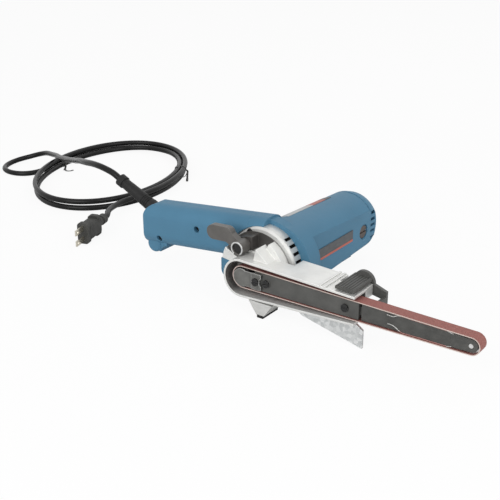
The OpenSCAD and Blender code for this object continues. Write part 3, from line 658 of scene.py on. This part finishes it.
def warm_plastic(name, base):
    """Dark warm plastic, paler along its edges."""
    m = Maker(name)
    edge, normal = m.edge(0.9 * MM)
    grain = m.noise(scale=2000, rough=0.6)
    cloud = m.noise(scale=70)
    body = m.tones(cloud, shades(base, 0.85, 1.25))
    m.colour(m.blend(m.ramp(edge, 0.3, 1.0, to_high=0.45), body, tint(base, 3.2)))
    m.roughness(m.ramp(grain, 0.3, 0.7, to_low=0.30, to_high=0.46))
    m.bump(grain, strength=0.10, distance=0.3 * MM, normal=normal)
    m.set(Specular_IOR_Level=0.5)
    return m.material


def warm_grey(looks):
    """The clamp lever's grey plastic."""
    return warm_plastic("warm_grey", looks.clamp_colour)


def base_grey(looks):
    """The clamp's base, darker than its lever."""
    return warm_plastic("base_grey", tint(looks.clamp_colour, 0.6))


def cap_brown(looks):
    """The brush caps, browner and darker than the clamp lever."""
    return warm_plastic("cap_brown", CAP_TONE)


def drawn_steel(looks):
    """Bright steel with fine lines along the arm."""
    m = Maker("drawn_steel")
    lines = m.noise(scale=1400, detail=4.0, rough=0.7, place=m.stretched((0.04, 1.0, 1.0)))
    cloud = m.noise(scale=80)
    edge, normal = m.edge(0.3 * MM)
    m.colour(m.blend(edge, m.tones(cloud, BRIGHT_STEEL), BRIGHT_EDGE))
    m.roughness(m.ramp(lines, 0.3, 0.7, to_low=0.20, to_high=0.38))
    m.bump(lines, strength=0.10, distance=0.2 * MM, normal=normal)
    m.set(Metallic=STEEL_METAL)
    return m.material


def mottled_sheet(looks):
    """Zinc plated sheet with a faint spangle."""
    m = Maker("mottled_sheet")
    tone = m.add("ShaderNodeRGBToBW")
    m.join(m.cells(scale=260, out="Color"), tone.inputs[0])
    flake = tone.outputs[0]
    fine = m.noise(scale=1200, detail=4.0)
    body = m.tones(flake, ZINC, 0.2, 0.8)
    m.colour(m.blend(m.ramp(fine, 0.35, 0.65, to_high=0.35), body, ZINC_FINE))
    m.roughness(m.ramp(flake, 0.2, 0.8, to_low=0.28, to_high=0.48))
    m.bump(fine, strength=0.10, distance=0.2 * MM)
    m.set(Metallic=SHEET_METAL)
    return m.material


def abrasive_belt(looks):
    """Red-brown grit on the belt's faces, pale cloth on its edges."""
    m = Maker("abrasive_belt")
    base = looks.grit_colour
    grit = m.cells(scale=2300)
    speck = m.noise(scale=1500, detail=5.0, rough=0.75)
    band = m.noise(scale=45, detail=2.0)
    body = m.tones(speck, shades(base, 0.62, 1.45), 0.32, 0.68)
    body = m.blend(m.ramp(band, 0.35, 0.65, to_high=0.25), body, tint(base, 1.25))
    facing = m.add("ShaderNodeNewGeometry").outputs["Normal"]
    side = m.maths("ABSOLUTE", m.parts(facing)["Y"])
    cloth = m.tones(m.noise(scale=3000, detail=2.0), BELT_CLOTH, 0.35, 0.65)
    m.colour(m.blend(m.ramp(side, 0.5, 0.7), body, cloth))
    m.roughness(m.ramp(speck, 0.3, 0.7, to_low=0.55, to_high=0.85))
    m.bump(m.sum(speck, grit, 0.8), strength=0.45, distance=0.4 * MM)
    m.set(Specular_IOR_Level=0.4)
    return m.material


def rubber(name, base):
    """Matt rubber with a dusty bloom."""
    m = Maker(name)
    bloom = m.noise(scale=120, detail=4.0, rough=0.6)
    fine = m.noise(scale=2500, detail=2.0)
    edge, normal = m.edge(0.6 * MM)
    body = m.tones(bloom, shades(base, 0.9, 1.5), 0.35, 0.7)
    m.colour(m.blend(m.ramp(edge, 0.3, 1.0, to_high=0.3), body, tint(base, 2.6)))
    m.roughness(m.ramp(fine, 0.3, 0.7, to_low=0.46, to_high=0.62))
    m.bump(fine, strength=0.08, distance=0.2 * MM, normal=normal)
    m.set(Specular_IOR_Level=0.22)
    return m.material


def soft_rubber(looks):
    """The black rubber of the guard and the foot."""
    return rubber("soft_rubber", looks.dark_colour)


def plug_rubber(looks):
    """The plug's body, greyer than the lead."""
    return rubber("plug_rubber", tint(looks.grey_colour, 0.75))


def cord_sheath(looks):
    """Glossy black sheath with slow changes of gloss along it."""
    m = Maker("cord_sheath")
    slow = m.noise(scale=55)
    fine = m.noise(scale=1600)
    m.colour(m.tones(slow, shades(looks.dark_colour, 0.5, 0.9), 0.35, 0.7))
    m.roughness(m.ramp(m.sum(slow, fine, 0.4), 0.4, 1.0, to_low=0.18, to_high=0.30))
    m.bump(m.sum(fine, slow, 2.0), strength=0.06, distance=0.4 * MM)
    m.set(Specular_IOR_Level=0.2)
    return m.material


def film(name, gloss, print_of):
    """A thin printed film with faint print dots and scuffs; print_of gives the print's colour."""
    m = Maker(name)
    dots = m.cells(scale=2400)
    scuff = m.noise(scale=300, detail=4.0, rough=0.7, place=m.stretched((1.0, 0.2, 1.0)))
    body = m.blend(m.ramp(dots, 0.1, 0.5, to_low=0.16, to_high=0.0), print_of(m), PRINT_DOT)
    m.colour(m.blend(m.ramp(scuff, 0.62, 0.80, to_high=0.25), body, SCUFF))
    m.roughness(m.ramp(scuff, 0.3, 0.7, to_low=gloss, to_high=gloss + 0.15))
    m.bump(scuff, strength=0.05, distance=0.2 * MM)
    return m.material


def badge_film(looks):
    """The bare dark badge."""
    return film(
        "badge_film", gloss=0.34,
        print_of=lambda m: m.tones(m.noise(scale=150), BADGE_DARK))


def stripe_film(looks):
    """The red stripe below the badge."""
    return film(
        "stripe_film", gloss=0.30,
        print_of=lambda m: m.tones(m.noise(scale=150), STRIPE_RED))


def plate_film(looks):
    """The bare nameplate: grey, then a red and a black field."""
    def fields(m):
        along = m.tool_place()[1]
        grey = m.tones(m.noise(scale=200), PLATE_GREY)
        red = m.blend(m.ramp(along, RED_FROM, RED_FROM + PRINT_EDGE), grey, PLATE_RED)
        return m.blend(m.ramp(along, BLACK_FROM, BLACK_FROM + PRINT_EDGE), red, PLATE_BLACK)
    return film("plate_film", gloss=0.36, print_of=fields)


def tie_film(looks):
    """Dark plastic wings of the wire ties."""
    m = Maker("tie_film")
    fine = m.noise(scale=900)
    slow = m.noise(scale=160)
    m.colour(m.tones(slow, shades(looks.grey_colour, 0.4, 0.8)))
    m.roughness(m.ramp(fine, 0.3, 0.7, to_low=0.30, to_high=0.46))
    m.bump(fine, strength=0.10, distance=0.2 * MM)
    return m.material


def nickel_plate(looks):
    """Nickel plated plug blades."""
    m = Maker("nickel_plate")
    lines = m.noise(scale=1800, rough=0.6, place=m.stretched((1.0, 1.0, 0.1)))
    m.colour(m.tones(lines, NICKEL))
    m.roughness(m.ramp(lines, 0.3, 0.7, to_low=0.16, to_high=0.32))
    m.bump(lines, strength=0.06, distance=0.2 * MM)
    m.set(Metallic=NICKEL_METAL)
    return m.material


FINISHES = {
    moulded_shell: ["motor_housing", "grip_cover"],
    cast_alloy: ["gear_housing"],
    cover_alloy: ["belt_cover"],
    black_steel: [
        "shield_screw", "holder_screws", "housing_screws", "clamp_bolt", "grip_screws",
        "drive_pulley"],
    arm_steel: ["arm_bar"],
    shield_steel: ["drive_shield"],
    spring_steel: ["arm_shoes", "spring_strips"],
    black_moulding: ["arm_holder", "release_lever", "switch_slider"],
    warm_grey: ["clamp_lever"],
    base_grey: ["clamp_base"],
    cap_brown: ["brush_caps"],
    drawn_steel: [
        "tip_axle", "tip_roller", "lever_pin", "spindle", "spindle_bearing", "clamp_clip"],
    mottled_sheet: ["skirt"],
    abrasive_belt: ["belt"],
    soft_rubber: ["foot_strip", "cord_guard"],
    plug_rubber: ["plug"],
    cord_sheath: ["cord", "cord_coil", "plug_lead", "mains_lead"],
    tie_film: ["cord_ties", "wire_ties"],
    badge_film: ["badge"],
    stripe_film: ["badge_stripe"],
    plate_film: ["nameplate"],
    nickel_plate: ["plug_blades"],
}


# Pieces

def link(obj, body):
    """Puts a new piece in the scene, on its body."""
    bpy.context.scene.collection.objects.link(obj)
    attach(obj, body)
    return obj


def mesh_piece(name, joined, body):
    """A new piece of the faces that were joined."""
    bmesh.ops.recalc_face_normals(joined, faces=joined.faces)
    mesh = bpy.data.meshes.new(name)
    joined.to_mesh(mesh)
    joined.free()
    return link(bpy.data.objects.new(name, mesh), body)


def skin(joined, rings, smooth):
    """Adds the faces between neighbouring rings of points, and those over both ends."""
    n = len(rings[0])
    for here, there in zip(rings, rings[1:]):
        for k in range(n):
            side = (here[k], here[(k + 1) % n], there[(k + 1) % n], there[k])
            joined.faces.new(side).smooth = smooth
    joined.faces.new(rings[0][::-1])
    joined.faces.new(rings[-1])


class POWERFILE_OT_camera(Operator):
    """Sets up the camera at the photograph's viewing angle"""

    bl_idname = "powerfile.camera"
    bl_label = "Camera"

    def execute(self, context):
        a, e = math.radians(VIEW_TURN), math.radians(VIEW_DROP)
        right = Vector((math.cos(a), math.sin(a), 0))
        up = Vector((-math.sin(a) * math.sin(e), math.cos(a) * math.sin(e), math.cos(e)))
        ahead = Vector((-math.sin(a) * math.cos(e), math.cos(a) * math.cos(e), -math.sin(e)))
        aim = -(VIEW_SIDE / VIEW_FOCUS) * right - (VIEW_RISE / VIEW_FOCUS) * up
        spot = aim - VIEW_AWAY * ahead
        data = bpy.data.cameras.new("view")
        data.angle = 2 * math.atan(HALF_FRAME / VIEW_FOCUS)
        data.clip_start = CLIP_NEAR
        data.clip_end = CLIP_FAR
        obj = bpy.data.objects.new("view", data)
        turn = Matrix((right, up, -ahead)).transposed()
        obj.matrix_world = Matrix.Translation((spot + TOOL_SHIFT) * MM) @ turn.to_4x4()
        context.scene.collection.objects.link(obj)
        context.scene.camera = obj
        return {"FINISHED"}


class POWERFILE_OT_stage(Operator):
    """Makes the pale floor, the plain studio light and the white surround"""

    bl_idname = "powerfile.stage"
    bl_label = "Stage"

    def execute(self, context):
        scene = context.scene
        scene.view_settings.view_transform = "Standard"
        self.floor(scene)
        self.surround(scene)
        for name, spot, size, power in LAMPS:
            self.lamp(scene, name, Vector(spot), size, power)
        return {"FINISHED"}

    def floor(self, scene):
        """A wide pale floor that stays white to the camera but keeps the shadow."""
        corners = [(-1, -1), (1, -1), (1, 1), (-1, 1)]
        mesh = bpy.data.meshes.new("floor")
        mesh.from_pydata(
            [(FLOOR_HALF * x, FLOOR_HALF * y, 0) for x, y in corners], [], [(0, 1, 2, 3)])
        obj = bpy.data.objects.new("floor", mesh)
        scene.collection.objects.link(obj)
        m = Maker("pale_floor")
        m.set(Base_Color=(FLOOR_TONE, FLOOR_TONE, FLOOR_TONE, 1.0), Roughness=0.9,
              Specular_IOR_Level=0.0)
        glow = m.add("ShaderNodeEmission")
        glow.inputs["Color"].default_value = (1, 1, 1, 1)
        seen = m.add("ShaderNodeLightPath").outputs["Is Camera Ray"]
        mix = m.add("ShaderNodeMixShader")
        m.join(m.maths("MULTIPLY", seen, FLOOR_OWN_WHITE), mix.inputs[0])
        m.join(m.surface.outputs[0], mix.inputs[1])
        m.join(glow.outputs[0], mix.inputs[2])
        m.join(mix.outputs[0], m.tree.nodes["Material Output"].inputs["Surface"])
        mesh.materials.append(m.material)

    def surround(self, scene):
        """White to the camera and in reflections, softer as a light."""
        world = bpy.data.worlds.new("studio")
        world.use_nodes = True
        scene.world = world
        tree = world.node_tree
        back = tree.nodes["Background"]
        back.inputs["Color"].default_value = (1, 1, 1, 1)
        path = tree.nodes.new("ShaderNodeLightPath")
        seen = tree.nodes.new("ShaderNodeMath")
        seen.operation = "MAXIMUM"
        tree.links.new(path.outputs["Is Camera Ray"], seen.inputs[0])
        tree.links.new(path.outputs["Is Glossy Ray"], seen.inputs[1])
        level = tree.nodes.new("ShaderNodeMapRange")
        level.inputs["To Min"].default_value = SURROUND_LIGHT
        level.inputs["To Max"].default_value = 1.0
        tree.links.new(seen.outputs[0], level.inputs["Value"])
        tree.links.new(level.outputs["Result"], back.inputs["Strength"])

    def lamp(self, scene, name, spot, size, power):
        """A square soft box aimed at the middle of the tool."""
        data = bpy.data.lights.new(name, "AREA")
        data.size = size
        data.energy = power
        obj = bpy.data.objects.new(name, data)
        obj.location = spot
        obj.rotation_euler = (LAMP_AIM - spot).to_track_quat("-Z", "Y").to_euler()
        scene.collection.objects.link(obj)


class POWERFILE_OT_finishes(Operator):
    """Gives every node and every new piece its finish"""

    bl_idname = "powerfile.finishes"
    bl_label = "Finishes"

    def execute(self, context):
        looks = context.scene.power_file
        for finish, names in FINISHES.items():
            made = finish(looks)
            for name in names:
                slots = (NODES[name] if name in NODES else bpy.data.objects[name]).data.materials
                if len(slots):
                    slots[0] = made
                else:
                    slots.append(made)
        return {"FINISHED"}


class POWERFILE_OT_lead(Operator):
    """Lays the mains lead from its guard through the coil to the plug"""

    bl_idname = "powerfile.lead"
    bl_label = "Lead"

    def execute(self, context):
        looks = context.scene.power_file
        points = [(p + FLOOR_SHIFT) * MM for p in smoothed(lead_points(), CORD_STEPS)]
        curve = bpy.data.curves.new("mains_lead", "CURVE")
        curve.dimensions = "3D"
        curve.bevel_depth = 1.0  # each point's radius then gives the lead's own radius
        curve.bevel_resolution = looks.cord_sides
        line = curve.splines.new("POLY")
        line.points.add(len(points) - 1)
        for p, co in zip(line.points, points):
            p.co = (*co, 1.0)
            p.radius = looks.cord_width / 2
        line.use_smooth = True
        obj = link(bpy.data.objects.new("mains_lead", curve), "housing")
        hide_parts("cord", "cord_coil", "plug_lead")
        return {"FINISHED"}


class POWERFILE_OT_ties(Operator):
    """Twists the two wire ties round the coil"""

    bl_idname = "powerfile.ties"
    bl_label = "Wire ties"

    def execute(self, context):
        size = context.scene.power_file.tie_size
        joined = bmesh.new()
        for t, hook in zip(TIE_TURNS, TIE_HOOKS):
            self.tie(joined, t, hook, size)
        obj = mesh_piece("wire_ties", joined, "housing")
        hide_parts("cord_ties")
        return {"FINISHED"}

    def tie(self, joined, t, hook, size):
        """One tie: a loop round the strands, and two tails that twist together."""
        here = coil_point(t)
        ahead = unit((coil_point(t + COIL_NUDGE) - here) * Vector((1, 1, 0)))
        inward = Vector((ahead.y, -ahead.x, 0))
        insets = [coil_inset(t + k) for k in range(int(COIL_TURNS - t) + 1)]
        shift = COIL_STEP * ((max(insets) + min(insets)) / 2 - coil_inset(t))
        half_w = COIL_STEP * (max(insets) - min(insets)) / 2 + CORD_WIDE / 2 + TIE_SLACK
        half_h = COIL_LAYER / 2 + CORD_WIDE / 2 + TIE_SLACK
        middle = Vector((here.x, here.y, COIL_LOW + COIL_LAYER / 2)) + shift * inward
        front = inward if inward.dot(TIE_WAY) > 0 else -inward
        loop = []
        for k in range(TIE_STEPS + 1):
            a = math.radians(TIE_MOUTH + (360 - 2 * TIE_MOUTH) * k / TIE_STEPS)
            c, s = math.cos(a), math.sin(a)
            square = (abs(c) ** TIE_SQUARENESS + abs(s) ** TIE_SQUARENESS) ** (-1 / TIE_SQUARENESS)
            loop.append(middle + half_w * c * square * front + half_h * s * square * UP)
        knot = middle + (half_w + KNOT_OUT) * front
        self.tail(joined, loop[::-1], ahead, knot, 0.0, hook, size)
        self.tail(joined, loop[1::-1], ahead, knot, math.pi, False, size)

    def tail(self, joined, start, ahead, knot, phase, hook, size):
        """Leads a strip from the loop into the twist, and then to its hook or its cut end."""
        across = TIE_WAY.cross(UP)
        points = list(start)
        wide = [ahead] * len(points)
        drop = knot.z - TWIST_LOW
        for k in range(TWIST_STEPS + 1):
            s = k / TWIST_STEPS
            turn = phase + 2 * math.pi * TWIST_TURNS * s
            spot = knot + TIE_WAY * (TWIST_LENGTH * s) - UP * (drop * eased(s))
            points.append(spot + TWIST_RADIUS * (math.cos(turn) * UP + math.sin(turn) * across))
            wide.append(math.cos(turn) * across - math.sin(turn) * UP)
        end, flat = points[-1], wide[-1]
        if hook:
            middle = end - HOOK_RADIUS * across
            for k in range(1, HOOK_STEPS + 1):
                a = math.radians(HOOK_ARC) * k / HOOK_STEPS
                settle = min(1.0, k / HOOK_SETTLE)
                away = math.sin(a) * TIE_WAY + math.cos(a) * across
                points.append(middle + HOOK_RADIUS * away - settle * (end.z - HOOK_LOW) * UP)
                wide.append(flat.lerp(away, settle))
        else:
            for k in range(1, CUT_STEPS + 1):
                points.append(end + TIE_WAY * (CUT_STEP * k) - UP * (CUT_DROP * k))
                wide.append(flat)
        self.sweep(joined, points, wide, size)

    def sweep(self, joined, points, wide_ways, size):
        """Carries a tie's section along points, with the way its width lies at each."""
        rings = []
        for i, point in enumerate(points):
            along = heading(points, i)
            wide = unit(wide_ways[i] - along * wide_ways[i].dot(along))
            thick = along.cross(wide)
            rings.append([
                joined.verts.new((point + size * (w * wide + t * thick) + FLOOR_SHIFT) * MM)
                for w, t in TIE_SECTION])
        skin(joined, rings, True)


class POWERFILE_OT_strips(Operator):
    """Bends the two spring strips that carry the belt along the arm"""

    bl_idname = "powerfile.strips"
    bl_label = "Spring strips"

    def execute(self, context):
        joined = bmesh.new()
        for dips, side in ((UPPER_STRIP, 1.0), (LOWER_STRIP, -1.0)):
            self.strip(joined, smoothed([
                Vector((x, 0, side * (LOOP_HALF - LOOP_FALL * x - STRIP_OFF - dip)))
                for x, dip in dips], STRIP_STEPS))
        obj = mesh_piece("spring_strips", joined, "arm")
        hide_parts("arm_shoes")
        return {"FINISHED"}

    def strip(self, joined, line):
        """One strip: a thin section carried along the line, in millimetres."""
        corners = ((1, STRIP_FRONT), (-1, STRIP_FRONT), (-1, STRIP_BACK), (1, STRIP_BACK))
        rings = []
        for i, point in enumerate(line):
            along = heading(line, i)
            half = Vector((-along.z, 0, along.x)) * (STRIP_THICK / 2)
            rings.append([
                joined.verts.new((point + way * half + Vector((0, y, 0)) + TOOL_SHIFT) * MM)
                for way, y in corners])
        skin(joined, rings, False)


class POWERFILE_PT_panel(Panel):
    """Lists the steps that dress the power file"""

    bl_idname = "POWERFILE_PT_panel"
    bl_label = "Power file"
    bl_space_type = "VIEW_3D"
    bl_region_type = "UI"
    bl_category = "Power file"

    def draw(self, context):
        looks = context.scene.power_file
        for key in PowerFileLooks.__annotations__:
            self.layout.prop(looks, key)
        for step in STEPS:
            self.layout.operator(step.bl_idname)


# In order: the finishes need every piece, so they come after the pieces
STEPS = (
    POWERFILE_OT_camera,
    POWERFILE_OT_ties,
    POWERFILE_OT_lead,
    POWERFILE_OT_strips,
    POWERFILE_OT_finishes,
    POWERFILE_OT_stage,
)
CLASSES = (PowerFileLooks, *STEPS, POWERFILE_PT_panel)


def register():
    for cls in CLASSES:
        bpy.utils.register_class(cls)
    bpy.types.Scene.power_file = PointerProperty(type=PowerFileLooks)


def unregister():
    del bpy.types.Scene.power_file
    for cls in reversed(CLASSES):
        bpy.utils.unregister_class(cls)


def main():
    register()
    for step in STEPS:
        group, name = step.bl_idname.split(".")
        getattr(getattr(bpy.ops, group), name)()
    bpy.context.view_layer.update()


if __name__ == "__main__":
    main()
